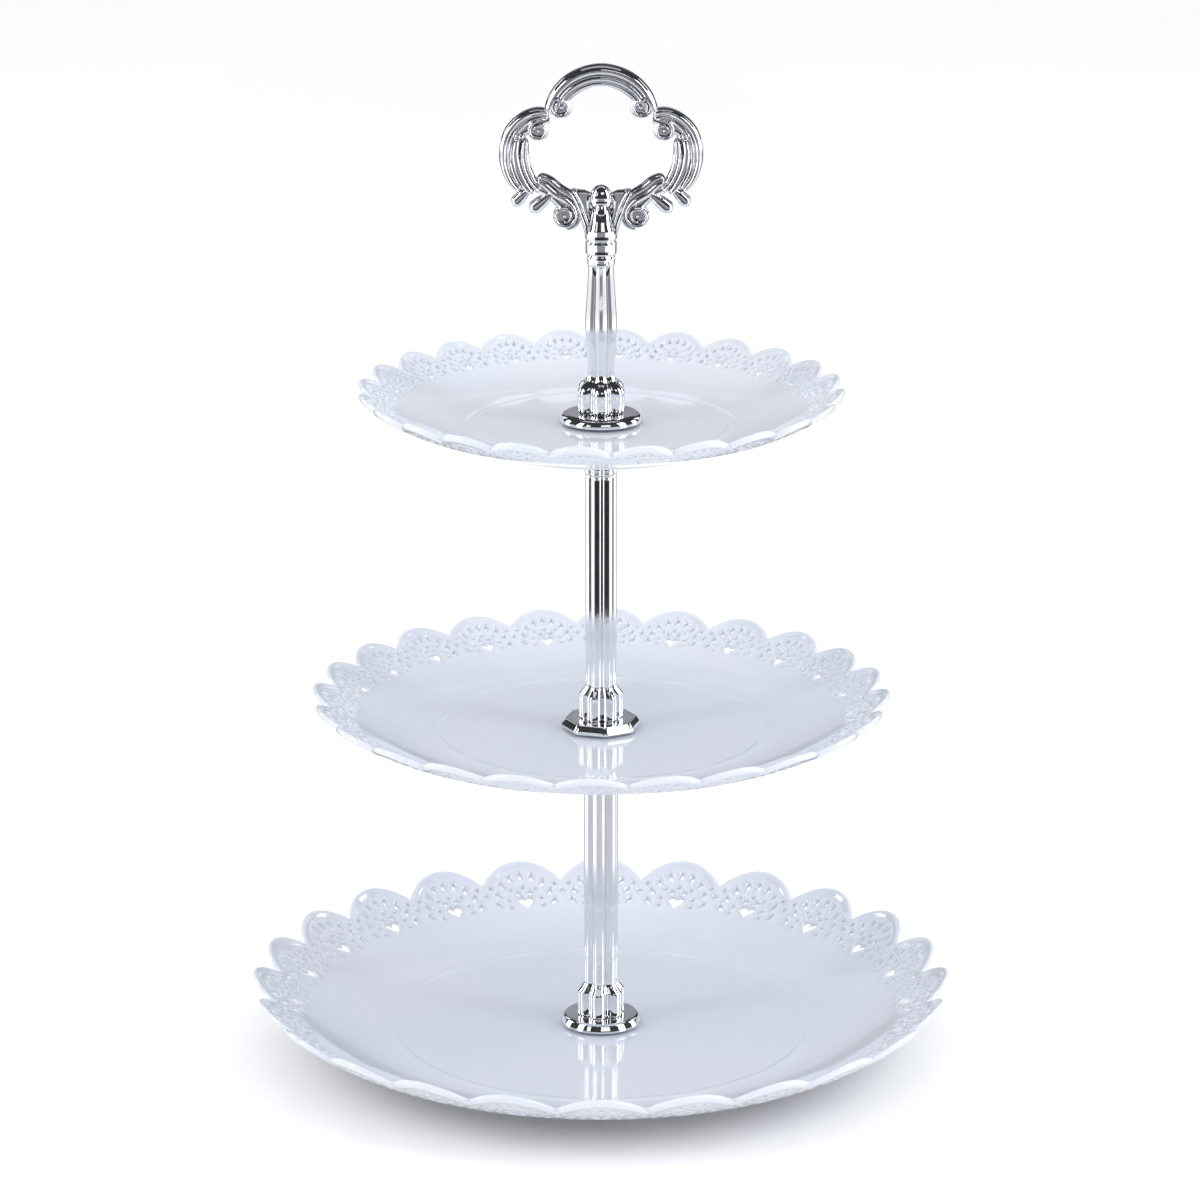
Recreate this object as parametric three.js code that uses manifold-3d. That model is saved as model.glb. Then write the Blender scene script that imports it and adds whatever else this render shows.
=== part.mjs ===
// A three-tier cake stand: scalloped plastic plates on a screwed chrome column with a scrollwork ring.
// Millimetres, +Z up, origin on the table under the centre of the bottom plate, front towards -Y.

import * as THREE from 'three';
import { mergeVertices } from 'three/addons/utils/BufferGeometryUtils.js';
import Module from 'manifold-3d';

const wasm = await Module();
wasm.setup();

const DEG = Math.PI / 180;

// Plates. The floor is the flat top face, and the wall rises from the foot ring in one arc.
// The bottom plate has the tallest foot, because the screw head sits inside it.
const PLATE_THICKNESS = 2.2;
const FOOT_WIDTH = 3.5;
const FOOT_DRAFT = { inner: 0.6, outer: 0.4 };
const TIER_PITCH = 116.2;
const BOTTOM_FOOT = 4.8;
const BOTTOM_FLOOR = BOTTOM_FOOT + PLATE_THICKNESS;
const PLATE_HOLE_RADIUS = 4;
const LOBES = 24;
const LOBE_STEPS = 4;
const WALL_STEPS = 3;
const VALLEY_RATIO = 0.945;
const PLATES = {
  bottom: {
    floor: BOTTOM_FLOOR, rimRadius: 130, footRadius: 80, footHeight: BOTTOM_FOOT, depth: 20.7, turn: 0,
  },
  middle: {
    floor: BOTTOM_FLOOR + TIER_PITCH, rimRadius: 106.3, footRadius: 62.7, footHeight: 3.4, depth: 15.1, turn: 13,
  },
  top: {
    floor: BOTTOM_FLOOR + 2 * TIER_PITCH, rimRadius: 88.3, footRadius: 49, footHeight: 2.6, depth: 14, turn: 10,
  },
};

// One heart is cut through the wall under each lobe, its point towards the axis. Sizes are the bottom
// plate's, and the other plates' follow their rims. The outline is its right half, [across, out].
const HEART = [[0, -3.7], [2.5, -1.2], [3.6, 1.2], [2.7, 3.1], [1, 3.2], [0, 2.2]];
const HEART_BELOW_RIM = 20.2;

// Stack through each plate: a soft washer, a flange and a collar above it, a soft washer and the ferrule
// of the rod below under it.
const GAP = 0.1;
const UPPER_WASHER = { radius: 11.5, height: 0.7 };
const LOWER_WASHER = { radius: 6, height: 0.8 };
const WASHER_HOLE_RADIUS = 3.2;
const FLANGE_RADIUS = 15.1;
const FLANGE_HEIGHT = 3.4;
const ROUND_EDGE = { lower: 0.8, handle: 1.5 };
const OCTAGON_BEVEL = 1.3;
const OCTAGON_TURN = 6;
const FLANGE_BOTTOM = 2 * GAP + UPPER_WASHER.height;
const FLANGE_TOP = FLANGE_BOTTOM + FLANGE_HEIGHT;
const COLLAR_HEIGHT = 9.1;
const COLLAR_TAPER = 3.3;
const FERRULE_HEIGHT = 15.7;
const FERRULE_PLUG = 9;

// Threads are modelled as plain cylinders: M6 through the column, M5 in the ring.
const M6_RADIUS = 2.95;
const M6_HOLE_RADIUS = 3.1;
const M5_RADIUS = 2.45;
const M5_HOLE_RADIUS = 2.6;
const INSERT_RADIUS = 4;
const INSERT_LENGTH = 16;
const TUBE_BORE_RADIUS = 4.1;
const STUD_ABOVE_FLOOR = 15;
const STUD_BELOW_PLATE = 24;
const PIN_CHAMFER = 0.5;

const SCREW = { headRadius: 6, headHeight: 2.3, length: 18, tipChamfer: 0.6 };
const SCREW_DOME = { flatRadius: 4.6, edgeRadius: 5.6, edgeHeight: 0.6 };
const CROSS_SLOT = { width: 1.1, length: 6.4, depth: 1.2 };
const STEEL_WASHER = { radius: 6.6, height: 0.8 };

// Rods: six lobes round, the radius over the lobes, and the turn of a lobe from +X.
const RODS = {
  lower: { foot: PLATES.bottom, head: PLATES.middle, tubeRadius: 6.6, collarRadius: 9.2, turn: 20 },
  middle: { foot: PLATES.middle, head: PLATES.top, tubeRadius: 5.75, collarRadius: 8.3, turn: 4 },
};
const FERRULE_PROUD = 0.3;
const COLUMN_LOBES = 6;
const LOBE_CENTRE_RATIO = 0.59;

// Handle: heights above the top plate's floor, with the radius over the lobes at each.
const STEM_TURN = 30;
const STEM_PROFILE = [
  [4.4, 8.9], [5.2, 9.4], [11.6, 9.5], [13.6, 9.0], [15.4, 7.4], [17.2, 6.3], [21.2, 5.3], [26.5, 5.6],
  [33, 6.15], [39.5, 6.2], [49, 5.5], [58.9, 5.0], [59.2, 5.5], [62.6, 5.5],
];
const STEM_BORE = 18;
const RING_JOINT = 62.7;
const RING_STUD = { boreFrom: 51.5, from: 52, to: 71.5, socket: 72 };
const RING_DEPTH = 7.4;

// Finger ring: its own outline is drawn in X and Z from the joint with the stem, left side first.
const SOCKET_PROFILE = [
  [5.4, 0], [5.7, 0.6], [5.7, 4.6], [5.3, 5.2], [5.7, 5.8], [5.7, 9], [6.6, 13], [5.2, 17],
];
const ARCH = { x: 0, z: 47.2, radius: 18.5, from: 14, to: 166, width: 7.8, steps: 14 };
const ARCH_VOLUTE = { x: 14.4, z: 53.8, radius: 4.8 };
const SHOULDER = { x: -20.8, z: 37.6, radius: 12.8, from: 78, to: 240, width: 5.4, steps: 9 };
const SHOULDER_VOLUTE = { x: 22.1, z: 45.2, radius: 4.2 };
const INNER_LEAF = {
  line: [[28.4, 42.5], [27.6, 36], [26.2, 30], [23.4, 24.6], [20.5, 21.5]], width: 5, steps: 5,
};
const LOWER_SCROLL = {
  line: [[24.4, 26], [20.4, 25.6], [16, 22.6], [11.6, 19], [9.6, 14.6]], width: 5.4, steps: 6,
};
const LOWER_VOLUTE = { x: 13.1, z: 14.3, radius: 4.8 };
const VOLUTE_PROUD = 0.3;
const CALYX_ARM = { line: [[9.6, 23], [7.8, 18.6], [5.4, 13.6], [3.6, 8.6]], width: 3, steps: 4 };
const LEAF_DROPS = [
  { root: [15, 22.6], tip: [24, 14], radius: 2.4 },
  { root: [21.6, 25.4], tip: [31.4, 18], radius: 1.8 },
];
const BUD = { z: 20, radius: 4.2, depthRatio: 0.9, height: 11.6 };

// Facets round each kind of turned piece.
const FACETS = {
  washer: 24, pin: 16, flange: 36, octagon: 40, screw: 24, bore: 18, socket: 24, volute: 12, leaf: 8,
};

const CHROME = { color: 0xd9dce0, roughness: 0.08, metalness: 1 };
const STEEL = { color: 0xa9acb0, roughness: 0.3, metalness: 1 };
const BRASS = { color: 0xc9a253, roughness: 0.3, metalness: 1 };
const CLEAR_SOFT = { color: 0xe9ecee, roughness: 0.4, metalness: 0 };
const PLASTIC = { color: 0xe2eaf4, roughness: 0.12, metalness: 0 };

const stand = new THREE.Group();

function addPart(name, geometry, look, turn = 0) {
  const mesh = new THREE.Mesh(geometry, new THREE.MeshStandardMaterial(look));
  mesh.name = name;
  mesh.rotation.z = turn * DEG;
  stand.add(mesh);
}

// ---- Solids -------------------------------------------------------------------------------------------

function toSolid(geometry) {
  const bare = new THREE.BufferGeometry();
  bare.setAttribute('position', geometry.getAttribute('position'));
  bare.setIndex(geometry.getIndex());
  const merged = mergeVertices(bare, 1e-4);
  const vertProperties = new Float32Array(merged.getAttribute('position').array);
  const triVerts = new Uint32Array(merged.getIndex().array);
  return new wasm.Manifold(new wasm.Mesh({ numProp: 3, vertProperties, triVerts }));
}

function toGeometry(solid) {
  const mesh = solid.getMesh();
  const geometry = new THREE.BufferGeometry();
  geometry.setAttribute('position', new THREE.BufferAttribute(mesh.vertProperties, 3));
  geometry.setIndex(new THREE.BufferAttribute(mesh.triVerts, 1));
  geometry.computeVertexNormals();
  return geometry;
}

// Joins rings of points, each [x, y, z] list of one length, into a closed skin. The rings follow the
// section anticlockwise: out along the underside, up, in along the top, and down the bore if it has one.
// Without a bore the first and last rings are closed by a fan to the axis.
function ringBody(rings, hasBore) {
  const count = rings[0].length;
  const points = rings.flat();
  const triangles = [];
  const pairs = hasBore ? rings.length : rings.length - 1;
  for (let ring = 0; ring < pairs; ring++) {
    const here = ring * count;
    const next = ((ring + 1) % rings.length) * count;
    for (let i = 0; i < count; i++) {
      const j = (i + 1) % count;
      triangles.push(here + i, here + j, next + j, here + i, next + j, next + i);
    }
  }
  if (!hasBore) {
    const first = points.push([0, 0, rings[0][0][2]]) - 1;
    const last = points.push([0, 0, rings.at(-1)[0][2]]) - 1;
    const top = (rings.length - 1) * count;
    for (let i = 0; i < count; i++) {
      const j = (i + 1) % count;
      triangles.push(first, j, i, top + i, top + j, last);
    }
  }
  const geometry = new THREE.BufferGeometry();
  geometry.setAttribute('position', new THREE.Float32BufferAttribute(points.flat(), 3));
  geometry.setIndex(triangles);
  geometry.computeVertexNormals();
  return geometry;
}

function ring(count, radiusAt, heightAt) {
  return Array.from({ length: count }, (_, i) => {
    const angle = (i / count) * 2 * Math.PI;
    const radius = radiusAt(angle);
    return [radius * Math.cos(angle), radius * Math.sin(angle), heightAt(radius)];
  });
}

const round = (count, radius, z) => ring(count, () => radius, () => z);

// A washer or bush, as a lathe profile that closes on itself.
function turnedRing(boreRadius, radius, bottom, top) {
  const profile = [
    [boreRadius, bottom], [radius, bottom], [radius, top], [boreRadius, top], [boreRadius, bottom],
  ];
  return turned(profile, FACETS.washer);
}

// A plain pin with chamfered ends.
function pin(radius, bottom, top) {
  const profile = [
    [0, bottom], [radius - PIN_CHAMFER, bottom], [radius, bottom + PIN_CHAMFER], [radius, top - PIN_CHAMFER],
    [radius - PIN_CHAMFER, top], [0, top],
  ];
  return turned(profile, FACETS.pin);
}

function turned(profile, segments) {
  const lathe = new THREE.LatheGeometry(profile.map(([r, z]) => new THREE.Vector2(r, z)), segments);
  return lathe.rotateX(Math.PI / 2);
}

// ---- Plates -------------------------------------------------------------------------------------------

// How far an edge point lies out between valley (0) and lobe tip (1): one circular arc for each lobe.
function scallop(angle) {
  const turns = (angle * LOBES) / (2 * Math.PI);
  const across = 2 * Math.abs(turns - Math.round(turns));
  const halfChord = Math.tan(Math.PI / LOBES);
  const rise = 1 / VALLEY_RATIO - 1;
  const arc = (halfChord ** 2 + rise ** 2) / (2 * rise);
  return (Math.sqrt(arc ** 2 - (across * halfChord) ** 2) - (arc - rise)) / rise;
}

// Radius of the arc that a wall follows, from level at the foot ring to the rim.
function wallCurve({ rimRadius, footRadius, depth }) {
  return ((rimRadius - footRadius) ** 2 + depth ** 2) / (2 * depth);
}

function plateBody({ floor, rimRadius, footRadius, footHeight, depth }) {
  const count = LOBES * LOBE_STEPS;
  const wallRadius = wallCurve({ rimRadius, footRadius, depth });
  const under = floor - PLATE_THICKNESS;
  const footInside = footRadius - FOOT_WIDTH;
  const edge = (angle) => rimRadius * (VALLEY_RATIO + (1 - VALLEY_RATIO) * scallop(angle));
  const wall = (step, thickness) => ring(
    count,
    (angle) => footRadius + ((edge(angle) - footRadius) * step) / WALL_STEPS,
    (radius) => floor + wallRadius - Math.sqrt((wallRadius + thickness) ** 2 - (radius - footRadius) ** 2),
  );
  const steps = Array.from({ length: WALL_STEPS }, (_, i) => i + 1);
  return ringBody([
    round(count, PLATE_HOLE_RADIUS, under),
    round(count, footInside, under),
    round(count, footInside + FOOT_DRAFT.inner, under - footHeight),
    round(count, footRadius - FOOT_DRAFT.outer, under - footHeight),
    round(count, footRadius, under),
    ...steps.map((step) => wall(step, PLATE_THICKNESS)),
    ...steps.toReversed().map((step) => wall(step, 0)),
    round(count, footRadius, floor),
    round(count, PLATE_HOLE_RADIUS, floor),
  ], true);
}

function heartCutter({ floor, rimRadius, footRadius, depth }) {
  const scale = rimRadius / PLATES.bottom.rimRadius;
  const right = HEART.map(([across, out]) => new THREE.Vector2(across * scale, out * scale));
  const left = right.slice(1, -1).reverse().map(({ x, y }) => new THREE.Vector2(-x, y));
  const wallRadius = wallCurve({ rimRadius, footRadius, depth });
  const rimSlope = Math.asin((rimRadius - footRadius) / wallRadius);
  const slope = rimSlope - (HEART_BELOW_RIM * scale) / wallRadius;
  const through = 4 * PLATE_THICKNESS;
  const outline = new THREE.Shape([...right, ...left]);
  return new THREE.ExtrudeGeometry(outline, { depth: through, bevelEnabled: false })
    .translate(0, 0, -through / 2)
    .rotateZ(-Math.PI / 2)
    .rotateY(-slope)
    .translate(footRadius + wallRadius * Math.sin(slope), 0, floor + wallRadius * (1 - Math.cos(slope)));
}

function plate(dimensions) {
  const cutter = toSolid(heartCutter(dimensions));
  let solid = toSolid(plateBody(dimensions));
  for (let lobe = 0; lobe < LOBES; lobe++) {
    solid = solid.subtract(cutter.rotate([0, 0, (lobe * 360) / LOBES]));
  }
  return toGeometry(solid);
}

// ---- Column -------------------------------------------------------------------------------------------

// Radius of a clustered column at an angle from a lobe: each lobe is an arc about a point off the axis.
function lobed(radius) {
  const centre = radius * LOBE_CENTRE_RATIO;
  const lobe = radius - centre;
  return (angle) => {
    const turns = (angle * COLUMN_LOBES) / (2 * Math.PI);
    const off = ((turns - Math.round(turns)) * 2 * Math.PI) / COLUMN_LOBES;
    return centre * Math.cos(off) + Math.sqrt(lobe ** 2 - (centre * Math.sin(off)) ** 2);
  };
}

const COLUMN_SEGMENTS = COLUMN_LOBES * 4;
const lobedRing = (radius, z) => ring(COLUMN_SEGMENTS, lobed(radius), () => z);

function collar(bottom, collarRadius, tubeRadius) {
  const bore = TUBE_BORE_RADIUS;
  const shoulder = bottom + COLLAR_HEIGHT;
  const top = shoulder + COLLAR_TAPER;
  return ringBody([
    round(COLUMN_SEGMENTS, bore, bottom),
    lobedRing(collarRadius, bottom),
    lobedRing(collarRadius, shoulder),
    lobedRing(tubeRadius, top),
    round(COLUMN_SEGMENTS, bore, top),
  ], true);
}

function tube(bottom, top, radius) {
  return ringBody([
    round(COLUMN_SEGMENTS, TUBE_BORE_RADIUS, bottom),
    lobedRing(radius, bottom),
    lobedRing(radius, top),
    round(COLUMN_SEGMENTS, TUBE_BORE_RADIUS, top),
  ], true);
}

// The rim rounds over in two facets.
function roundFlange(bottom, edgeRounding) {
  const top = bottom + FLANGE_HEIGHT;
  const profile = [
    [TUBE_BORE_RADIUS, bottom], [FLANGE_RADIUS, bottom], [FLANGE_RADIUS, top - edgeRounding],
    [FLANGE_RADIUS - edgeRounding * 0.35, top - edgeRounding * 0.3], [FLANGE_RADIUS - edgeRounding, top],
    [TUBE_BORE_RADIUS, top], [TUBE_BORE_RADIUS, bottom],
  ];
  return turned(profile, FACETS.flange);
}

function octagonFlange(bottom) {
  const count = FACETS.octagon;
  const side = Math.PI / 4;
  const octagon = (radius) => (angle) => {
    const off = angle - side * Math.floor(angle / side + 1e-9) - side / 2;
    return (radius * Math.cos(side / 2)) / Math.cos(off);
  };
  const top = bottom + FLANGE_HEIGHT;
  return ringBody([
    round(count, TUBE_BORE_RADIUS, bottom),
    ring(count, octagon(FLANGE_RADIUS), () => bottom),
    ring(count, octagon(FLANGE_RADIUS), () => top - OCTAGON_BEVEL),
    ring(count, octagon(FLANGE_RADIUS - OCTAGON_BEVEL), () => top),
    round(count, TUBE_BORE_RADIUS, top),
  ], true);
}

// The lobed end of a rod, with a round plug that enters the tube and a bore for the stud.
function ferrule(bottom, top, radius) {
  return ringBody([
    round(COLUMN_SEGMENTS, M6_HOLE_RADIUS, bottom - FERRULE_PLUG),
    round(COLUMN_SEGMENTS, INSERT_RADIUS, bottom - FERRULE_PLUG),
    round(COLUMN_SEGMENTS, INSERT_RADIUS, bottom),
    lobedRing(radius, bottom),
    lobedRing(radius, top),
    round(COLUMN_SEGMENTS, M6_HOLE_RADIUS, top),
  ], true);
}

function addPlateStack(name, { floor }) {
  const under = floor - PLATE_THICKNESS;
  const washerTop = under - GAP;
  const upper = floor + GAP;
  addPart(
    `${name}_lower_washer`,
    turnedRing(WASHER_HOLE_RADIUS, LOWER_WASHER.radius, washerTop - LOWER_WASHER.height, washerTop),
    CLEAR_SOFT,
  );
  addPart(
    `${name}_upper_washer`,
    turnedRing(WASHER_HOLE_RADIUS, UPPER_WASHER.radius, upper, upper + UPPER_WASHER.height),
    CLEAR_SOFT,
  );
}

function insert(floor) {
  const bottom = floor + FLANGE_BOTTOM + GAP;
  return turnedRing(M6_HOLE_RADIUS, INSERT_RADIUS, bottom, bottom + INSERT_LENGTH);
}

function addRod(name, { foot, head, tubeRadius, collarRadius, turn }) {
  const headUnder = head.floor - PLATE_THICKNESS;
  const collarBottom = foot.floor + FLANGE_TOP + GAP;
  const tubeBottom = collarBottom + COLLAR_HEIGHT + COLLAR_TAPER + GAP;
  const ferruleTop = headUnder - 2 * GAP - LOWER_WASHER.height;
  const ferruleBottom = ferruleTop - FERRULE_HEIGHT;
  addPart(`${name}_rod_collar`, collar(collarBottom, collarRadius, tubeRadius), CHROME, turn);
  addPart(`${name}_rod_insert`, insert(foot.floor), BRASS);
  addPart(`${name}_rod_tube`, tube(tubeBottom, ferruleBottom - GAP, tubeRadius), CHROME, turn);
  addPart(
    `${name}_rod_ferrule`,
    ferrule(ferruleBottom, ferruleTop, tubeRadius + FERRULE_PROUD),
    CHROME,
    turn,
  );
  addPart(
    `${name}_rod_stud`,
    pin(M6_RADIUS, headUnder - STUD_BELOW_PLATE, head.floor + STUD_ABOVE_FLOOR),
    STEEL,
  );
}

function bottomScrew(washerBottom) {
  const headTop = washerBottom - GAP;
  const headBottom = headTop - SCREW.headHeight;
  const tip = headTop + SCREW.length;
  const profile = [
    [0, headBottom], [SCREW_DOME.flatRadius, headBottom],
    [SCREW_DOME.edgeRadius, headBottom + SCREW_DOME.edgeHeight], [SCREW.headRadius, headTop], [M6_RADIUS, headTop],
    [M6_RADIUS, tip - SCREW.tipChamfer], [M6_RADIUS - SCREW.tipChamfer, tip], [0, tip],
  ];
  let screw = toSolid(turned(profile, FACETS.screw));
  for (const [x, y] of [[CROSS_SLOT.width, CROSS_SLOT.length], [CROSS_SLOT.length, CROSS_SLOT.width]]) {
    const slot = new THREE.BoxGeometry(x, y, 2 * CROSS_SLOT.depth).translate(0, 0, headBottom);
    screw = screw.subtract(toSolid(slot));
  }
  return toGeometry(screw);
}

// ---- Handle -------------------------------------------------------------------------------------------

function handleStem(floor) {
  const body = ringBody(STEM_PROFILE.map(([height, radius]) => lobedRing(radius, floor + height)), false);
  const foot = floor + STEM_PROFILE[0][0];
  const insertBore = boreAlongAxis(TUBE_BORE_RADIUS, foot - 1, floor + STEM_BORE);
  const studBore = boreAlongAxis(M5_HOLE_RADIUS, floor + RING_STUD.boreFrom, floor + RING_JOINT + 1);
  return toGeometry(toSolid(body).subtract(toSolid(insertBore)).subtract(toSolid(studBore)));
}

function boreAlongAxis(radius, bottom, top) {
  return new THREE.CylinderGeometry(radius, radius, top - bottom, FACETS.bore)
    .rotateX(Math.PI / 2)
    .translate(0, 0, (bottom + top) / 2);
}

// A bar of oval section along a curve through points in the ring's own plane.
function bar(points, { width, steps }) {
  const path = new THREE.CatmullRomCurve3(points.map(([x, z]) => new THREE.Vector3(x, 0, z)));
  const section = new THREE.Shape();
  section.absellipse(0, 0, RING_DEPTH / 2, width / 2, 0, 2 * Math.PI);
  return new THREE.ExtrudeGeometry(section, { steps, curveSegments: 4, extrudePath: path });
}

function arcPoints({ x, z, radius, from, to, steps }) {
  return Array.from({ length: steps + 1 }, (_, i) => {
    const angle = (from + ((to - from) * i) / steps) * DEG;
    return [x + radius * Math.cos(angle), z + radius * Math.sin(angle)];
  });
}

// A volute: a thick button with rounded faces, its axis along Y.
function volute({ x, z, radius }) {
  const half = RING_DEPTH / 2 + VOLUTE_PROUD;
  const profile = [
    [0, -half], [radius * 0.6, -half], [radius, -half * 0.5],
    [radius, half * 0.5], [radius * 0.6, half], [0, half],
  ];
  const lathe = new THREE.LatheGeometry(profile.map(([r, y]) => new THREE.Vector2(r, y)), FACETS.volute);
  return lathe.translate(x, 0, z);
}

// A teardrop leaf tip from its narrow root to its round end.
function leafDrop({ root, tip, radius }, side) {
  const length = Math.hypot(tip[0] - root[0], tip[1] - root[1]);
  const profile = [
    [0, 0], [radius * 0.8, length * 0.12], [radius * 0.8, length * 0.4], [radius, length - radius],
    [radius * 0.72, length - radius * 0.3], [0, length],
  ];
  const lathe = new THREE.LatheGeometry(profile.map(([r, y]) => new THREE.Vector2(r, y)), FACETS.leaf);
  const angle = Math.atan2(tip[1] - root[1], side * (tip[0] - root[0]));
  return lathe
    .rotateZ(-Math.PI / 2)
    .rotateY(-angle)
    .translate(side * root[0], 0, root[1]);
}

// One side of the ring: side is -1 for left and 1 for right.
function ringSide(side) {
  const at = (curl) => ({ ...curl, x: side * curl.x });
  const scroll = (shape) => bar(shape.line.map(([x, z]) => [side * x, z]), shape);
  const shoulder = arcPoints(SHOULDER).map(([x, z]) => [-side * x, z]);
  return [
    volute(at(ARCH_VOLUTE)),
    bar(shoulder, SHOULDER),
    volute(at(SHOULDER_VOLUTE)),
    scroll(INNER_LEAF),
    scroll(LOWER_SCROLL),
    volute(at(LOWER_VOLUTE)),
    scroll(CALYX_ARM),
    ...LEAF_DROPS.map((drop) => leafDrop(drop, side)),
  ];
}

function fingerRing(floor) {
  const socket = turned([[0, 0], ...SOCKET_PROFILE, [0, SOCKET_PROFILE.at(-1)[1]]], FACETS.socket);
  const bud = new THREE.SphereGeometry(BUD.radius, 12, 8)
    .scale(1, BUD.depthRatio, BUD.height / (2 * BUD.radius))
    .translate(0, 0, BUD.z);
  const pieces = [bar(arcPoints(ARCH), ARCH), bud, ...ringSide(-1), ...ringSide(1)];
  let casting = toSolid(socket);
  for (const piece of pieces) {
    casting = casting.add(toSolid(piece));
  }
  const studBore = boreAlongAxis(M5_HOLE_RADIUS, -1, RING_STUD.socket - RING_JOINT);
  casting = casting.subtract(toSolid(studBore));
  return toGeometry(casting).translate(0, 0, floor + RING_JOINT);
}

// ---- The stand ----------------------------------------------------------------------------------------

const steelWasherTop = PLATES.bottom.floor - PLATE_THICKNESS - 2 * GAP - LOWER_WASHER.height;
addPart('bottom_screw', bottomScrew(steelWasherTop - STEEL_WASHER.height), STEEL);
addPart(
  'bottom_steel_washer',
  turnedRing(WASHER_HOLE_RADIUS, STEEL_WASHER.radius, steelWasherTop - STEEL_WASHER.height, steelWasherTop),
  STEEL,
);

for (const [name, dimensions] of Object.entries(PLATES)) {
  addPart(`${name}_plate`, plate(dimensions), PLASTIC, dimensions.turn);
  addPlateStack(name, dimensions);
}

addPart('lower_flange', roundFlange(PLATES.bottom.floor + FLANGE_BOTTOM, ROUND_EDGE.lower), CHROME);
addPart('middle_flange', octagonFlange(PLATES.middle.floor + FLANGE_BOTTOM), CHROME, OCTAGON_TURN);
addPart('handle_flange', roundFlange(PLATES.top.floor + FLANGE_BOTTOM, ROUND_EDGE.handle), CHROME);

for (const [name, dimensions] of Object.entries(RODS)) {
  addRod(name, dimensions);
}

const topFloor = PLATES.top.floor;
addPart('handle_insert', insert(topFloor), BRASS);
addPart('handle_stem', handleStem(topFloor), CHROME, STEM_TURN);
addPart('handle_stud', pin(M5_RADIUS, topFloor + RING_STUD.from, topFloor + RING_STUD.to), STEEL);
addPart('finger_ring', fingerRing(topFloor), CHROME);

export default stand;
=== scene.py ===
"""A three-tier cake stand: scalloped lace plates on a screwed chrome column with a scrollwork ring."""

import math

import bmesh
import bpy
import numpy as np
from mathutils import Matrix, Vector
from mathutils.geometry import delaunay_2d_cdt


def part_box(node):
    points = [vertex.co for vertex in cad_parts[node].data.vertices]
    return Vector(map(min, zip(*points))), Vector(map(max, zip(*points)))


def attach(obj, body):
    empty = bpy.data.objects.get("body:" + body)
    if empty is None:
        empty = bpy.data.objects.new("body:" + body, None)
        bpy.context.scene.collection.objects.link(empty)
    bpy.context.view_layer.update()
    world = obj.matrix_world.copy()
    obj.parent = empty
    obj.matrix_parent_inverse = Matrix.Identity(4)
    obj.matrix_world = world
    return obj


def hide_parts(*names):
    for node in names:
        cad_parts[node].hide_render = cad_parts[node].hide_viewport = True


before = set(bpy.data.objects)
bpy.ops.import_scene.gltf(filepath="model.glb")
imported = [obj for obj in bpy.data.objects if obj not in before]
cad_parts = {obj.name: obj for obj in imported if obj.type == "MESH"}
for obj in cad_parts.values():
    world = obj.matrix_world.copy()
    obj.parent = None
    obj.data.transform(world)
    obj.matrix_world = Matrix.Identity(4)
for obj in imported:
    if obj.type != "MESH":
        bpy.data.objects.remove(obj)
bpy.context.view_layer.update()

MM = 0.001
TAU = 2 * math.pi


# ---- Meshes -------------------------------------------------------------------------------------------


def add_piece(name, verts, faces, material, body, nodes, weld=False):
    """A smooth-shaded mesh from points in millimetres, riding on a body in place of its CAD nodes."""
    mesh = bpy.data.meshes.new(name)
    mesh.from_pydata((np.asarray(verts, float) * MM).tolist(), [], faces)
    if weld:
        weld_mesh(mesh)
    mesh.update()
    mesh.polygons.foreach_set("use_smooth", [True] * len(mesh.polygons))
    piece = bpy.data.objects.new(name, mesh)
    bpy.context.scene.collection.objects.link(piece)
    declare(piece, material, body, nodes)
    return piece


def weld_mesh(mesh):
    bm = bmesh.new()
    bm.from_mesh(mesh)
    bmesh.ops.remove_doubles(bm, verts=bm.verts, dist=0.004 * MM)
    bmesh.ops.recalc_face_normals(bm, faces=bm.faces)
    bm.to_mesh(mesh)
    bm.free()


def declare(piece, material, body, nodes):
    piece.data.materials.clear()
    piece.data.materials.append(material)
    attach(piece, body)
    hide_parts(*nodes)


def sharpen(piece, degrees):
    """Marks edges steeper than an angle as sharp, so that smooth shading stops there."""
    piece.data.set_sharp_from_angle(angle=math.radians(degrees))


def ring_body(rings, bored):
    """Joins rings of points into a closed skin: out along the underside, up, in, and down the bore."""
    count = len(rings[0])
    verts = [p for r in rings for p in r]
    faces = []
    pairs = len(rings) if bored else len(rings) - 1
    for k in range(pairs):
        here, there = k * count, ((k + 1) % len(rings)) * count
        for i in range(count):
            j = (i + 1) % count
            faces.append((here + i, here + j, there + j, there + i))
    if not bored:
        last = (len(rings) - 1) * count
        faces.append(tuple(reversed(range(count))))
        faces.append(tuple(range(last, last + count)))
    return verts, faces


def circle(radius, z, count):
    a = np.arange(count) * TAU / count
    return np.stack([radius * np.cos(a), radius * np.sin(a), np.full(count, z)], 1)


def turned(profile, bored, count=96):
    return ring_body([circle(r, z, count) for r, z in profile], bored)


def rounded(profile, radius, steps=4):
    """Replaces each inner corner of an open (r, z) profile by a small fillet."""
    points = [np.array(p, float) for p in profile]
    out = [points[0]]
    for before, here, after in zip(points, points[1:], points[2:]):
        a, b = before - here, after - here
        la, lb = np.linalg.norm(a), np.linalg.norm(b)
        cut = min(radius, 0.45 * la, 0.45 * lb)
        start, end = here + a / la * cut, here + b / lb * cut
        for t in np.linspace(0, 1, steps + 1):
            out.append((1 - t) ** 2 * start + 2 * t * (1 - t) * here + t * t * end)
    out.append(points[-1])
    return [tuple(p) for p in out]


# ---- Materials ----------------------------------------------------------------------------------------


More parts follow.
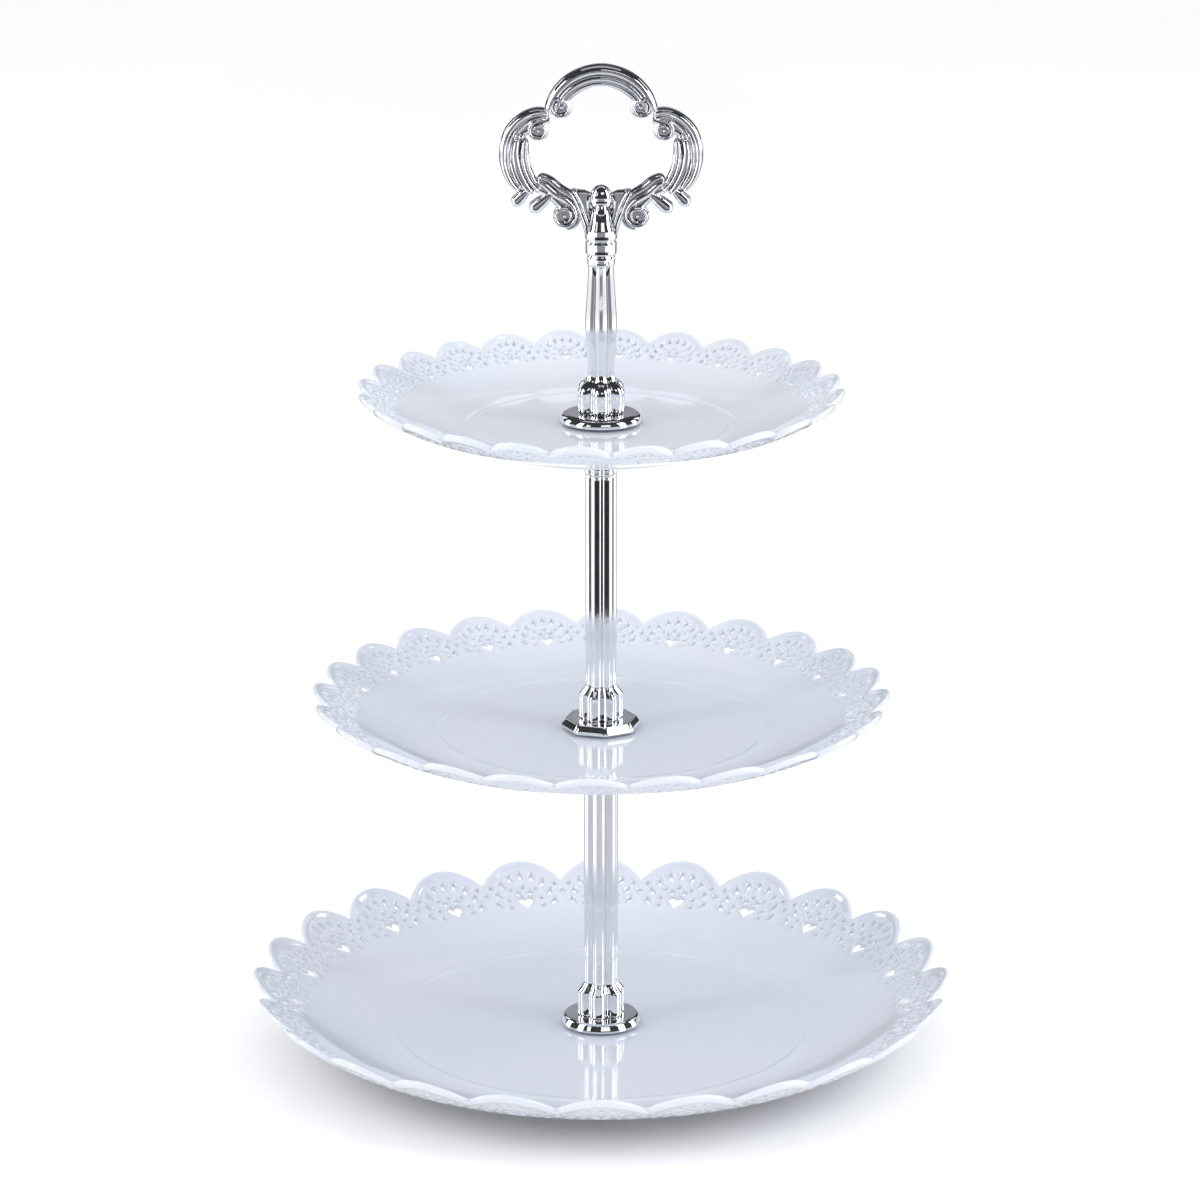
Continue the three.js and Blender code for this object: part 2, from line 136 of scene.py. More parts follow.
class Look:
    """A Principled material with a few short ways to add procedural detail in object space."""

    def __init__(self, name):
        self.material = bpy.data.materials.new(name)
        self.material.use_nodes = True
        self.tree = self.material.node_tree
        self.shader = self.tree.nodes["Principled BSDF"]
        self.coord = self.node("ShaderNodeTexCoord").outputs["Object"]

    def node(self, kind, **values):
        n = self.tree.nodes.new(kind)
        for key, value in values.items():
            if hasattr(n, key):
                setattr(n, key, value)
            else:
                n.inputs[key].default_value = value
        return n

    def link(self, a, b):
        self.tree.links.new(a, b)

    def noise(self, scale, detail=3.0, stretch=(1, 1, 1)):
        place = self.node("ShaderNodeMapping")
        place.inputs["Scale"].default_value = stretch
        self.link(self.coord, place.inputs["Vector"])
        n = self.node("ShaderNodeTexNoise", Scale=scale, Detail=detail)
        self.link(place.outputs["Vector"], n.inputs["Vector"])
        return n.outputs["Fac"]

    def spread(self, value, low, high, from_low=0.3, from_high=0.7):
        n = self.node("ShaderNodeMapRange")
        n.inputs["From Min"].default_value = from_low
        n.inputs["From Max"].default_value = from_high
        n.inputs["To Min"].default_value = low
        n.inputs["To Max"].default_value = high
        self.link(value, n.inputs["Value"])
        return n.outputs["Result"]

    def mix(self, factor, a, b):
        n = self.node("ShaderNodeMix", data_type="RGBA")
        self.link(factor, n.inputs["Factor"])
        for socket, value in ((n.inputs[6], a), (n.inputs[7], b)):
            if isinstance(value, tuple):
                socket.default_value = (*value, 1)
            else:
                self.link(value, socket)
        return n.outputs[2]

    def colour(self, output):
        self.link(output, self.shader.inputs["Base Color"])

    def roughness(self, output):
        self.link(output, self.shader.inputs["Roughness"])

    def bump(self, height, strength, distance):
        n = self.node("ShaderNodeBump", Strength=strength, Distance=distance)
        self.link(height, n.inputs["Height"])
        self.link(n.outputs["Normal"], self.shader.inputs["Normal"])


def metal(name, light, dark, rough, ripple, stretch=(1, 1, 1)):
    look = Look(name)
    look.shader.inputs["Metallic"].default_value = 1.0
    look.colour(look.mix(look.spread(look.noise(90), 0, 1), light, dark))
    look.roughness(look.spread(look.noise(260, 4.0, stretch), *rough))
    look.bump(look.noise(420, 2.0, stretch), ripple, 0.00005)
    return look.material


def plastic():
    look = Look("pearl_white_plastic")
    look.shader.inputs["IOR"].default_value = 1.53
    look.shader.inputs["Coat Weight"].default_value = 0.45
    look.shader.inputs["Coat Roughness"].default_value = 0.03
    cloudy = look.spread(look.noise(14, 2.0), 0, 1)
    body = look.mix(cloudy, (0.65, 0.685, 0.76), (0.70, 0.73, 0.79))
    pearly = look.spread(look.noise(6, 1.0, (1, 1, 0.4)), 0, 0.35)
    look.colour(look.mix(pearly, body, (0.72, 0.70, 0.755)))
    look.roughness(look.spread(look.noise(60, 3.0), 0.07, 0.13))
    look.bump(look.noise(34, 1.0), 0.12, 0.0004)
    return look.material


def soft_clear():
    look = Look("clear_soft_washer")
    look.shader.inputs["IOR"].default_value = 1.45
    look.shader.inputs["Transmission Weight"].default_value = 0.35
    look.colour(look.mix(look.spread(look.noise(300), 0, 1), (0.82, 0.85, 0.88), (0.70, 0.74, 0.78)))
    look.roughness(look.spread(look.noise(500), 0.3, 0.5))
    look.bump(look.noise(900), 0.3, 0.0001)
    return look.material


CHROME = metal("chrome_plate", (0.90, 0.905, 0.915), (0.83, 0.84, 0.86), (0.03, 0.07), 0.15)
STEEL = metal("zinc_steel", (0.62, 0.63, 0.65), (0.46, 0.47, 0.49), (0.22, 0.38), 0.35, (1, 1, 6))
BRASS = metal("turned_brass", (0.80, 0.60, 0.26), (0.66, 0.47, 0.18), (0.2, 0.35), 0.35, (1, 1, 8))
PLASTIC = plastic()
CLEAR = soft_clear()


# ---- Plates -------------------------------------------------------------------------------------------

LOBES = 24
VALLEY = 0.945
HALF_LOBE = 16.0
REFERENCE_RIM = 130.0
THICKNESS = 2.2
FOOT_WIDTH = 3.5
BAND = 26.0
HOLE_RADIUS = 4.0
BAND_STEPS = 12
EDGE_STEPS = 36
EDGE_ROUND = 1.1
BEAD_WIDTH = 3.6
BEAD_HEIGHT = 0.55
LACE_THICKNESS = 1.4
THINNING_SHARE = 0.55
HEART = {"y": 20.2, "half_width": 3.5, "height": 6.6}
VALLEY_DOT = {"y": 15.2, "radius": 1.05, "steps": 6}
LIP = {"height": 0.35, "from_hole": 0.45, "width": 0.34}
HOLE_EDGE = {"drop": 0.3, "width": 0.2, "lower_drop": 0.25, "lower_width": 0.3}
FLOOR_RIDGE = 0.2
EDGE_ROWS = (0.1, 0.3, 0.6, 0.95, 1.35, 1.75, 2.15, 2.5, 2.85, 3.2, 3.6)
EDGE_ROWS_END = 3.8
HOLE_ROWS = (0.22, 0.5, 0.85)


def plate_size(name, rim_radius, foot_radius, foot_height, turn):
    """Sizes of a plate, with its heights from its CAD box: the floor is above the foot."""
    low, high = (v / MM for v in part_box(name))
    floor = low.z + foot_height + THICKNESS
    return {
        "rim": rim_radius, "foot": foot_radius, "foot_height": foot_height, "floor": floor,
        "depth": high.z - floor, "turn": turn,
    }


PLATES = {
    "bottom_plate": plate_size("bottom_plate", 130.0, 80.0, 4.8, 0),
    "middle_plate": plate_size("middle_plate", 106.3, 62.7, 3.4, 13),
    "top_plate": plate_size("top_plate", 88.3, 49.0, 2.6, 10),
}


def underside(size, arc, radius):
    """Height of the wall's underside: the wall thins from the foot to the lace."""
    share = np.clip((radius - size["foot"]) / (THINNING_SHARE * (size["rim"] - size["foot"])), 0, 1)
    thickness = THICKNESS + (LACE_THICKNESS - THICKNESS) * share
    return size["floor"] + arc - np.sqrt((arc + thickness) ** 2 - (radius - size["foot"]) ** 2)


def scallop(share):
    """How far the edge lies out from valley to tip, at a share of the half lobe from its centre."""
    half_chord = math.tan(math.pi / LOBES)
    rise = 1 / VALLEY - 1
    arc = (half_chord**2 + rise**2) / (2 * rise)
    return (np.sqrt(arc**2 - (share * half_chord) ** 2) - (arc - rise)) / rise


def ellipse(x, y, half_x, half_y, count, tilt=0.0, taper=0.0):
    """An outline of a slot; taper makes it a teardrop that is narrower at its outer end."""
    a = np.arange(count) * TAU / count
    along = half_y * np.sin(a)
    across = half_x * np.cos(a) * (1 + taper * np.sin(a))
    c, s = math.cos(tilt), math.sin(tilt)
    return np.stack([x + across * c - along * s, y + across * s + along * c], 1)


def heart(x, y, half_width, height, count=30):
    """A heart whose point is at the greatest depth, seen from the plate's axis."""
    a = np.arange(count) * TAU / count
    across = half_width * np.sin(a) ** 3
    out = (13 * np.cos(a) - 5 * np.cos(2 * a) - 2 * np.cos(3 * a) - np.cos(4 * a)) / 16
    middle = (out.max() + out.min()) / 2
    return np.stack([x + across, y - (out - middle) * height / (out.max() - out.min())], 1)


def lace_holes():
    """Outlines of one lobe's holes: x across from the lobe's centre, y down the slope from its tip."""
    holes = [heart(0, HEART["y"], HEART["half_width"], HEART["height"])]
    slots = [(0, 7.3, 0.0), (4.3, 8.1, 0.16), (8.2, 11.0, 0.34), (10.7, 15.4, 0.42), (11.9, 20.2, 0.42)]
    for x, y, tilt in slots:
        for side in ((1,) if x == 0 else (1, -1)):
            holes.append(ellipse(side * x, y, 0.8, 1.8, 16, side * tilt, 0.25))
    dots = [(2.5, 15.2, 1.2, 14), (0, 12.6, 0.85, 12), (5.2, 13.6, 0.7, 10), (13.2, 11.6, 0.8, 10)]
    dots += [(6.9, 18.3, 0.75, 10), (7.1, 22.2, 0.75, 10)]
    for x, y, radius, count in dots:
        for side in ((1,) if x == 0 else (1, -1)):
            holes.append(ellipse(side * x, y, radius, radius, count))
    return holes


def inside(points, outline):
    """Which points lie in a closed outline."""
    x, y = points[:, 0][:, None], points[:, 1][:, None]
    x0, y0 = outline[:, 0], outline[:, 1]
    x1, y1 = np.roll(x0, -1), np.roll(y0, -1)
    crosses = (y0 > y) != (y1 > y)
    at = x0 + (y - y0) * (x1 - x0) / np.where(y1 == y0, 1e-12, y1 - y0)
    return (np.sum(crosses & (x < at), axis=1) % 2) == 1


def distance(points, line, closed):
    """Distance from each point to a line of points."""
    a = line if closed else line[:-1]
    b = np.roll(line, -1, axis=0) if closed else line[1:]
    ab = b - a
    length = np.maximum((ab**2).sum(1), 1e-12)
    ap = points[:, None, :] - a[None]
    t = np.clip((ap * ab[None]).sum(2) / length[None], 0, 1)
    return np.sqrt(((ap - t[..., None] * ab[None]) ** 2).sum(2)).min(1)


def scaled_about_centre(outline, grow):
    centre = outline.mean(0)
    out = outline - centre
    return centre + out * (1 + grow / np.linalg.norm(out, axis=1))[:, None]


def sector(size):
    """One lobe's lace: its flat points, triangles, and how far each point is from the edge and a hole."""
    rim, foot, depth = size["rim"], size["foot"], size["depth"]
    scale = rim / REFERENCE_RIM
    arc = ((rim - foot) ** 2 + depth**2) / (2 * depth)
    steep = math.asin((rim - foot) / arc)

    def edge_depth(x):
        share = np.abs(x) / HALF_LOBE
        radius = rim * (VALLEY + (1 - VALLEY) * scallop(share))
        return (steep - np.arcsin((radius - foot) / arc)) * arc / scale

    xs = np.linspace(-HALF_LOBE, HALF_LOBE, EDGE_STEPS + 1)
    edge = np.stack([xs, edge_depth(xs)], 1)
    wide_edge = np.concatenate([edge[:-1] - (2 * HALF_LOBE, 0), edge[:-1], edge + (2 * HALF_LOBE, 0)])

    a = np.linspace(-math.pi / 2, math.pi / 2, VALLEY_DOT["steps"] + 1)
    radius = VALLEY_DOT["radius"]
    nick = np.stack([-radius * np.cos(a), VALLEY_DOT["y"] + radius * np.sin(a)], 1)
    valley = edge[-1, 1]
    above = np.linspace(valley, nick[0, 1], 7)[1:-1]
    below = np.linspace(nick[-1, 1], BAND, 10)[1:-1]
    right = np.concatenate([
        [[HALF_LOBE, y] for y in above], nick + (HALF_LOBE, 0), [[HALF_LOBE, y] for y in below],
    ])
    left = right[::-1] * (-1, 1)
    bottom = [[x, BAND] for x in np.linspace(HALF_LOBE, -HALF_LOBE, BAND_STEPS + 1)]
    outline = np.concatenate([edge, right, bottom, left])

    holes = lace_holes()
    whole_dots = [
        ellipse(side * HALF_LOBE, VALLEY_DOT["y"], radius, radius, 16) for side in (1, -1)
    ]

    normal = np.gradient(edge, axis=0)
    normal = np.stack([-normal[:, 1], normal[:, 0]], 1)
    normal /= np.linalg.norm(normal, axis=1)[:, None]
    fan = np.linspace(math.radians(40), math.radians(90), 6)
    inner = []
    mirrored = []
    for t in EDGE_ROWS:
        inner.append(edge + normal * t)
        corner = edge[-1] + t * np.stack([-np.cos(fan), np.sin(fan)], 1)
        inner.append(corner)
        mirrored.append(corner * (-1, 1))
    grid_x, grid_y = np.meshgrid(np.arange(-15, 15.1, 1.25), np.arange(4.5, BAND - 0.5, 1.1))
    inner.append(np.stack([grid_x.ravel(), grid_y.ravel()], 1))
    inner = np.concatenate(inner + mirrored)
    loops = np.concatenate([
        scaled_about_centre(h, grow) for h in holes + whole_dots for grow in HOLE_ROWS
    ])

    def clear_of(points, hole_gap, edge_gap):
        """The points that keep a gap from every hole and from the edge."""
        keep = np.abs(points[:, 0]) < HALF_LOBE - 0.1
        keep &= points[:, 1] < BAND - 0.3
        keep &= inside(points, outline)
        keep &= distance(points, wide_edge, False) > edge_gap
        for h in holes + whole_dots:
            keep &= ~inside(points, h)
            keep &= distance(points, h, True) > hole_gap
        return points[keep]

    def spaced(points, taken, gap):
        """The points that keep a gap from those taken and from each other."""
        kept = list(taken)
        first = len(kept)
        for p in points:
            near = np.array(kept) - p
            if (near**2).sum(1).min() > gap * gap:
                kept.append(p)
        return np.array(kept[first:])

    edge_points = clear_of(inner, 0.3, 0.06)
    edge_points = edge_points[distance(edge_points, wide_edge, False) < EDGE_ROWS_END]
    fixed = np.concatenate([outline, *holes])
    loops = spaced(clear_of(loops, 0.15, 0.4), fixed, 0.17)
    near_edge = spaced(edge_points, np.concatenate([fixed, loops]), 0.09)
    filled = np.concatenate([fixed, loops, near_edge])
    grid = spaced(clear_of(inner, 0.9, EDGE_ROWS_END + 0.1), filled, 0.75)
    points = np.concatenate([filled, grid])

    edges = []
    start = 0
    for loop in [outline, *holes]:
        n = len(loop)
        edges += [(start + i, start + (i + 1) % n) for i in range(n)]
        start += n
    made = delaunay_2d_cdt([tuple(p) for p in points], edges, [], 0, 1e-6, True)
    flat = np.array([tuple(p) for p in made[0]])
    triangles = np.array(made[2])
    middle = flat[triangles].mean(1)
    keep = inside(middle, outline)
    for h in holes:
        keep &= ~inside(middle, h)
    triangles = triangles[keep]
    p = flat[triangles]
    ab, ac = p[:, 1] - p[:, 0], p[:, 2] - p[:, 0]
    area = ab[:, 0] * ac[:, 1] - ab[:, 1] * ac[:, 0]
    triangles = np.where((area > 0)[:, None], triangles[:, ::-1], triangles)

    to_edge = distance(flat, wide_edge, False)
    to_hole = np.min([distance(flat, h, True) for h in holes + whole_dots], axis=0)
    return flat, triangles, to_edge, to_hole, scale, arc, steep


def border_edges(triangles):
    """Directed edges used by one triangle only."""
    sides = np.concatenate([triangles[:, [0, 1]], triangles[:, [1, 2]], triangles[:, [2, 0]]])
    used = {tuple(s) for s in sides.tolist()}
    return [s for s in used if (s[1], s[0]) not in used]


def lace(size):
    """The lace band of a whole plate, both faces and the hole walls."""
    flat, triangles, to_edge, to_hole, scale, arc, steep = sector(size)
    slope = steep - flat[:, 1] * scale / arc
    radius = size["foot"] + arc * np.sin(slope)
    angle = flat[:, 0] / HALF_LOBE * math.pi / LOBES
    centre = size["floor"] + arc
    upper = centre - arc * np.cos(slope)
    lower = underside(size, arc, radius)

    across = (to_edge - BEAD_WIDTH / 2) / (BEAD_WIDTH / 2)
    bead = BEAD_HEIGHT * np.clip(1 - across**2, 0, 1) ** 1.3
    lip = LIP["height"] * np.exp(-(((to_hole - LIP["from_hole"]) / LIP["width"]) ** 2))
    lip -= HOLE_EDGE["drop"] * np.exp(-((to_hole / HOLE_EDGE["width"]) ** 2))
    lift = (bead + lip * np.clip((to_edge - 2.5) / 1.5, 0, 1)) / np.cos(slope)
    upper = upper + lift
    lower = lower + HOLE_EDGE["lower_drop"] * np.exp(-((to_hole / HOLE_EDGE["lower_width"]) ** 2))
    lower = lower - 0.45 * bead
    middle = (upper + lower) / 2
    fullness = np.sqrt(np.clip(1 - (1 - np.clip(to_edge / EDGE_ROUND, 0, 1)) ** 2, 0, 1))
    upper = middle + (upper - middle) * fullness
    lower = middle + (lower - middle) * fullness

    count = len(flat)
    walls = []
    for a, b in border_edges(triangles):
        on_side = abs(flat[a, 0]) > HALF_LOBE - 1e-6 and abs(flat[b, 0]) > HALF_LOBE - 1e-6
        on_base = flat[a, 1] > BAND - 1e-6 and flat[b, 1] > BAND - 1e-6
        on_edge = to_edge[a] < 1e-6 and to_edge[b] < 1e-6
        if not (on_side or on_base or on_edge):
            walls.append((a, b, b + count, a + count))
    verts, faces = [], []
    for lobe in range(LOBES):
        turn = angle + lobe * TAU / LOBES + math.radians(size["turn"])
        base = len(verts) * 2 * count
        top = np.stack([radius * np.cos(turn), radius * np.sin(turn), upper], 1)
        under = np.stack([radius * np.cos(turn), radius * np.sin(turn), lower], 1)
        verts.append(np.concatenate([top, under]))
        faces += (triangles + base).tolist()
        faces += (triangles[:, ::-1] + base + count).tolist()
        faces += [tuple(base + i for i in w) for w in walls]
    return np.concatenate(verts), faces, arc, steep - BAND * scale / arc


def plate(name, body):
    size = PLATES[name]
    verts, faces, arc, inner_slope = lace(size)
    floor, foot = size["floor"], size["foot"]
    under = floor - THICKNESS
    base = under - size["foot_height"]
    centre = floor + arc
    inside_foot = foot - FOOT_WIDTH

    start = foot + arc * math.sin(inner_slope)
    top, bottom = [], []
    for r in np.linspace(start, foot + 0.6, 16):
        top.append((r, centre - math.sqrt(arc**2 - (r - foot) ** 2)))
        bottom.append((r, float(underside(size, arc, r))))
    middle = foot - FOOT_WIDTH / 2
    for across in np.linspace(1.25, -1.25, 13):
        r = middle + across * FOOT_WIDTH / 2
        top.append((r, floor + FLOOR_RIDGE * max(0.0, 1 - across**4)))
    top += [(r, floor) for r in np.linspace(inside_foot - 2, HOLE_RADIUS + 1, 12)]
    top += [(HOLE_RADIUS + 0.3, floor), (HOLE_RADIUS, floor - 0.3)]
    leg = rounded(
        [
            (foot + 0.4, under), (foot, under - 0.02), (foot - 0.3, base), (inside_foot + 0.5, base),
            (inside_foot, under), (inside_foot - 2, under),
        ],
        0.45,
    )
    bottom += leg[1:]
    bottom += [(r, under) for r in np.linspace(inside_foot - 4, HOLE_RADIUS + 0.3, 9)]
    bottom += [(HOLE_RADIUS, under + 0.3)]

    count = LOBES * BAND_STEPS
    a = (np.arange(count) / count) * TAU + math.radians(size["turn"]) + math.pi / LOBES

    def rings(profile):
        return [np.stack([r * np.cos(a), r * np.sin(a), np.full(count, z)], 1) for r, z in profile]

    skin = rings(top) + rings(bottom[::-1])
    offset = len(verts)
    verts = np.concatenate([verts, *skin])
    for k in range(len(skin) - 1):
        for i in range(count):
            j = (i + 1) % count
            here, there = offset + k * count, offset + (k + 1) * count
            faces.append((here + i, there + i, there + j, here + j))
    piece = add_piece(f"{name}_lace", verts, faces, PLASTIC, body, [name], weld=True)
    sharpen(piece, 50)


plate("bottom_plate", "base")
plate("middle_plate", "middle_tier")
plate("top_plate", "top_tier")


# ---- Column -------------------------------------------------------------------------------------------

COLUMN_LOBES = 6
TUBE_LOBES = 0.62
COLLAR_LOBES = 0.65
COLUMN_SEGMENTS = 144
BORE = 4.1
INSERT_RADIUS = 4.0
M6_HOLE = 3.1
M6_RADIUS = 2.95
M5_RADIUS = 2.45
M5_HOLE = 2.6
WASHER_HOLE = 3.2
COLLAR_HEIGHT = 9.1
FERRULE_PLUG = 9.0
FERRULE_PROUD = 0.3
OCTAGON = {"radius": 15.1, "bevel": 2.3, "corner_share": 0.985, "points_a_side": 20}
KNURL = {"teeth": 30, "twist": 9, "depth": 0.12, "from_end": 1.2, "to_end": 6.4}
SCREW_HEAD = 2.3
CROSS_RECESS = {"arm": 3.2, "half_width": 0.55, "depth": 1.3}


def heights(node):
    low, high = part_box(node)
    return low.z / MM, high.z / MM


def lobed_ring(radius, z, turn, ratio, soften=0.0):
    """A ring round six rods whose centres are at a ratio of the radius; soften fills its grooves a little."""
    a = np.arange(COLUMN_SEGMENTS) * TAU / COLUMN_SEGMENTS
    turns = a * COLUMN_LOBES / TAU
    off = (turns - np.round(turns)) * TAU / COLUMN_LOBES
    centre = radius * ratio
    lobe = radius - centre
    r = centre * np.cos(off) + np.sqrt(lobe**2 - (centre * np.sin(off)) ** 2)
    r = r + (radius * 0.9 - r) * soften
    t = a + math.radians(turn)
    return np.stack([r * np.cos(t), r * np.sin(t), np.full(len(a), z)], 1)


def lobed_piece(name, node, profile, bore, turn, body, ratio):
    """A lobed body from (height, radius) pairs, with a plain bore."""
    bottom, top = profile[0][0], profile[-1][0]
    rings = [circle(bore, bottom, COLUMN_SEGMENTS)]
    rings += [lobed_ring(r, z, turn, ratio) for z, r in profile]
    rings += [circle(bore, top, COLUMN_SEGMENTS)]
    verts, faces = ring_body(rings, True)
    piece = add_piece(name, verts, faces, CHROME, body, [node])
    sharpen(piece, 42)


def rod(name, body, tube_radius, collar_radius, turn):
    bottom, top = heights(f"{name}_rod_collar")
    shoulder = bottom + COLLAR_HEIGHT
    lobed_piece(
        f"{name}_collar", f"{name}_rod_collar",
        rounded(
            [
                (bottom, collar_radius - 0.5), (bottom + 0.5, collar_radius), (shoulder, collar_radius),
                (top - 0.9, tube_radius + 0.5), (top, tube_radius),
            ],
            0.5,
        ),
        BORE, turn, body, COLLAR_LOBES,
    )
    bottom, top = heights(f"{name}_rod_tube")
    lobed_piece(
        f"{name}_tube", f"{name}_rod_tube",
        rounded(
            [(bottom, tube_radius - 0.2), (bottom + 0.3, tube_radius)]
            + [(z, tube_radius) for z in np.linspace(bottom + 2, top - 2, 7)]
            + [(top - 0.3, tube_radius), (top, tube_radius - 0.2)],
            0.2, 2,
        ),
        BORE, turn, body, TUBE_LOBES,
    )
    plug_bottom, top = heights(f"{name}_rod_ferrule")
    bottom = plug_bottom + FERRULE_PLUG
    radius = tube_radius + FERRULE_PROUD
    plug = [
        (M6_HOLE, plug_bottom), (INSERT_RADIUS - 0.3, plug_bottom),
        (INSERT_RADIUS, plug_bottom + 0.4), (INSERT_RADIUS, bottom),
    ]
    outside = [
        (bottom, radius - 0.4), (bottom + 0.4, radius), (bottom + 1.2, radius),
        (bottom + 1.6, radius - 0.25), (bottom + 2, radius), (top - 0.4, radius), (top, radius - 0.4),
    ]
    rings = [circle(r, z, COLUMN_SEGMENTS) for r, z in plug]
    rings += [lobed_ring(r, z, turn, TUBE_LOBES) for z, r in rounded(outside, 0.25, 2)]
    rings += [circle(M6_HOLE, top, COLUMN_SEGMENTS)]
    verts, faces = ring_body(rings, True)
    piece = add_piece(f"{name}_ferrule", verts, faces, CHROME, body, [f"{name}_rod_ferrule"])
    sharpen(piece, 42)


def round_flange(name, node, body, edge, fillet):
    """A turned disc whose edge leans in and rounds over: edge holds (in from the rim, below the top)."""
    bottom, top = heights(node)
    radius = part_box(node)[1].x / MM
    profile = [(BORE, bottom), (radius - 0.4, bottom), (radius, bottom + 0.4)]
    profile += [(radius - inward, top - below) for inward, below in edge] + [(BORE, top)]
    verts, faces = turned(rounded(profile, fillet), True, 160)
    piece = add_piece(name, verts, faces, CHROME, body, [node])
    sharpen(piece, 50)


def octagon_flange(name, node, body, turn):
    bottom, top = heights(node)
    radius, bevel = OCTAGON["radius"], OCTAGON["bevel"]
    count = 8 * OCTAGON["points_a_side"]
    a = np.arange(count) * TAU / count
    side = TAU / 8
    off = a - side * np.floor(a / side + 1e-9) - side / 2

    def octagon(r, z):
        corner = r * math.cos(side / 2) / np.cos(off)
        reach = np.minimum(corner, r * OCTAGON["corner_share"])
        t = a + math.radians(turn)
        return np.stack([reach * np.cos(t), reach * np.sin(t), np.full(count, z)], 1)

    profile = rounded(
        [
            (bottom, radius - 0.4), (bottom + 0.4, radius), (top - bevel, radius),
            (top, radius - 1.7), (top, radius - 3.5),
        ],
        0.3, 3,
    )
    rings = [circle(BORE, bottom, count)] + [octagon(r, z) for z, r in profile]
    rings += [circle(BORE, top, count)]
    verts, faces = ring_body(rings, True)
    piece = add_piece(name, verts, faces, CHROME, body, [node])
    sharpen(piece, 28)


def thread_form(z, angle, pitch):
    """How deep a thread is cut at a height, from 0 to 1, round a helix."""
    phase = (z / pitch - angle / TAU) % 1.0
    return np.clip(np.abs(phase - 0.5) * 2.6 - 0.25, 0, 1)


def thread(name, node, body, radius, pitch):
    """A threaded pin with chamfered ends."""
    bottom, top = heights(node)
    count, per_turn = 48, 10
    a = np.arange(count) * TAU / count
    depth = 0.54 * pitch
    rings = []
    for z in np.arange(bottom, top + 1e-6, (top - bottom) / round((top - bottom) / pitch * per_turn)):
        chamfer = max(0.0, 0.8 - min(z - bottom, top - z))
        r = np.minimum(radius - depth * thread_form(z, a, pitch), radius - chamfer)
        rings.append(np.stack([r * np.cos(a), r * np.sin(a), np.full(count, z)], 1))
    verts, faces = ring_body(rings, False)
    add_piece(name, verts, faces, STEEL, body, [node])


def insert(name, node, body):
    """A knurled brass bush with a bored, chamfered mouth."""
    bottom, top = heights(node)
    count = 120
    a = np.arange(count) * TAU / count
    rings = [circle(M6_HOLE, bottom + 0.4, count), circle(M6_HOLE + 0.4, bottom, count)]
    for z in np.linspace(bottom, top, 33):
        end = min(z - bottom, top - z)
        depth = KNURL["depth"] if KNURL["from_end"] < end < KNURL["to_end"] else 0.0
        knurl = depth * (1 + np.sin(KNURL["teeth"] * a + KNURL["twist"] * z)) / 2
        r = INSERT_RADIUS - 0.05 - knurl - 0.3 * max(0.0, 0.5 - end)
        rings.append(np.stack([r * np.cos(a), r * np.sin(a), np.full(count, z)], 1))
    rings += [circle(M6_HOLE + 0.4, top, count), circle(M6_HOLE, top - 0.4, count)]
    verts, faces = ring_body(rings, True)
    piece = add_piece(name, verts, faces, BRASS, body, [node])
    sharpen(piece, 40)


def washer(name, node, body, material, edge=0.25):
    low, high = heights(node)
    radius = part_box(node)[1].x / MM
    hole = WASHER_HOLE
    profile = [(hole, low + edge), (hole + edge, low), (radius - edge, low), (radius, low + edge)]
    profile += [(radius, high - edge), (radius - edge, high), (hole + edge, high), (hole, high - edge)]
    verts, faces = turned(rounded(profile, 0.15, 2), True, 96)
    piece = add_piece(name, verts, faces, material, body, [node])
    sharpen(piece, 50)


rod("lower", "lower_rod", 6.6, 9.2, 20)
rod("middle", "middle_rod", 5.75, 8.3, 4)
round_flange("lower_flange_disc", "lower_flange", "lower_rod", [(0.1, 2.4), (1.1, 0.5), (1.9, 0)], 0.35)
octagon_flange("middle_flange_disc", "middle_flange", "middle_rod", 6)
round_flange("handle_flange_disc", "handle_flange", "handle", [(0, 2.2), (0.7, 0.7), (2.4, 0)], 0.8)
thread("lower_stud", "lower_rod_stud", "lower_rod", M6_RADIUS, 1.0)
thread("middle_stud", "middle_rod_stud", "middle_rod", M6_RADIUS, 1.0)
thread("ring_stud", "handle_stud", "handle", M5_RADIUS, 0.8)
insert("lower_insert", "lower_rod_insert", "lower_rod")
insert("middle_insert", "middle_rod_insert", "middle_rod")
insert("stem_insert", "handle_insert", "handle")
washer("washer_under_bottom_plate", "bottom_lower_washer", "base", CLEAR)
washer("washer_on_bottom_plate", "bottom_upper_washer", "lower_washer", CLEAR)
washer("washer_under_middle_plate", "middle_lower_washer", "lower_rod", CLEAR)
washer("washer_on_middle_plate", "middle_upper_washer", "middle_washer", CLEAR)
washer("washer_under_top_plate", "top_lower_washer", "middle_rod", CLEAR)
washer("washer_on_top_plate", "top_upper_washer", "handle_washer", CLEAR)
washer("steel_washer", "bottom_steel_washer", "base", STEEL, 0.12)


